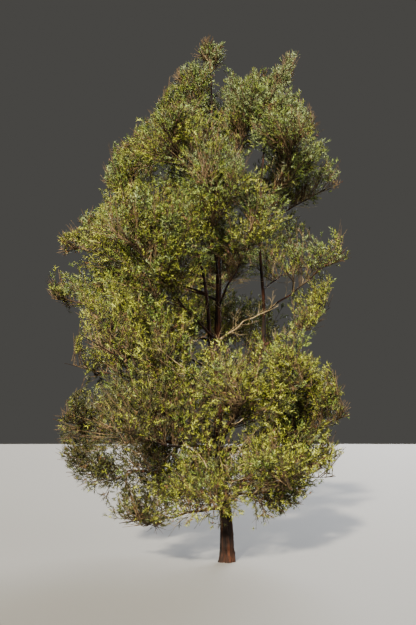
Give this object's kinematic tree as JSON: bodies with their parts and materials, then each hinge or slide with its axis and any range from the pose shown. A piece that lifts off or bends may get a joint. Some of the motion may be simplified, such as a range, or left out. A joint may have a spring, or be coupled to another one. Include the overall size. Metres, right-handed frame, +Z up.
{
  "type": "phoenician juniper tree",
  "caption": "Open-grown conical evergreen tree with a leaning trunk forked into upright leaders and plumes of scale-leaved foliage down to the ground.",
  "frame": {"origin": "middle of the flat cut under the trunk, at ground level", "axes": "+Z up the tree, -Y towards the side seen in the picture, +X to the right of that view"},
  "size_m": [4.4687, 4.1794, 7.8952],
  "materials": {
    "bark": "rough",
    "dead_wood": "matt",
    "foliage": "matt"
  },
  "bodies": {
    "root": {"bough_back_left_low": "bark", "bough_back_left_skirt": "bark", "bough_back_low": "bark", "bough_back_right_low": "bark", "bough_front_left_low": "bark", "bough_front_left_mid": "bark", "bough_front_left_skirt": "bark", "bough_left_low": "bark", "bough_left_mid": "bark", "bough_left_skirt": "bark", "bough_right_low": "bark", "dead_bough": "dead_wood", "foliage_back_high": "foliage", "foliage_back_left_low": "foliage", "foliage_back_left_mid": "foliage", "foliage_back_left_skirt": "foliage", "foliage_back_left_upper": "foliage", "foliage_back_low": "foliage", "foliage_back_mid": "foliage", "foliage_back_right_high": "foliage", "foliage_back_right_low": "foliage", "foliage_back_right_mid": "foliage", "foliage_back_right_skirt": "foliage", "foliage_back_right_upper": "foliage", "foliage_back_top": "foliage", "foliage_back_upper": "foliage", "foliage_crown_top": "foliage", "foliage_front_high": "foliage", "foliage_front_left_low": "foliage", "foliage_front_left_mid": "foliage", "foliage_front_left_skirt": "foliage", "foliage_front_left_upper": "foliage", "foliage_front_low": "foliage", "foliage_front_right_high": "foliage", "foliage_front_right_mid": "foliage", "foliage_front_right_skirt": "foliage", "foliage_front_right_upper": "foliage", "foliage_front_skirt": "foliage", "foliage_front_top": "foliage", "foliage_front_upper": "foliage", "foliage_left_high": "foliage", "foliage_left_low": "foliage", "foliage_left_mid": "foliage", "foliage_left_reach": "foliage", "foliage_left_rise": "foliage", "foliage_left_shoulder": "foliage", "foliage_left_skirt": "foliage", "foliage_left_upper": "foliage", "foliage_right_low": "foliage", "foliage_right_mid": "foliage", "foliage_right_peak": "foliage", "foliage_right_reach": "foliage", "foliage_right_shoulder": "foliage", "foliage_right_skirt": "foliage", "foliage_right_upper": "foliage", "foliage_top_left": "foliage", "foliage_top_right": "foliage", "left_leader": "bark", "right_leader": "bark", "trunk": "bark"}
  },
  "joints": []
}
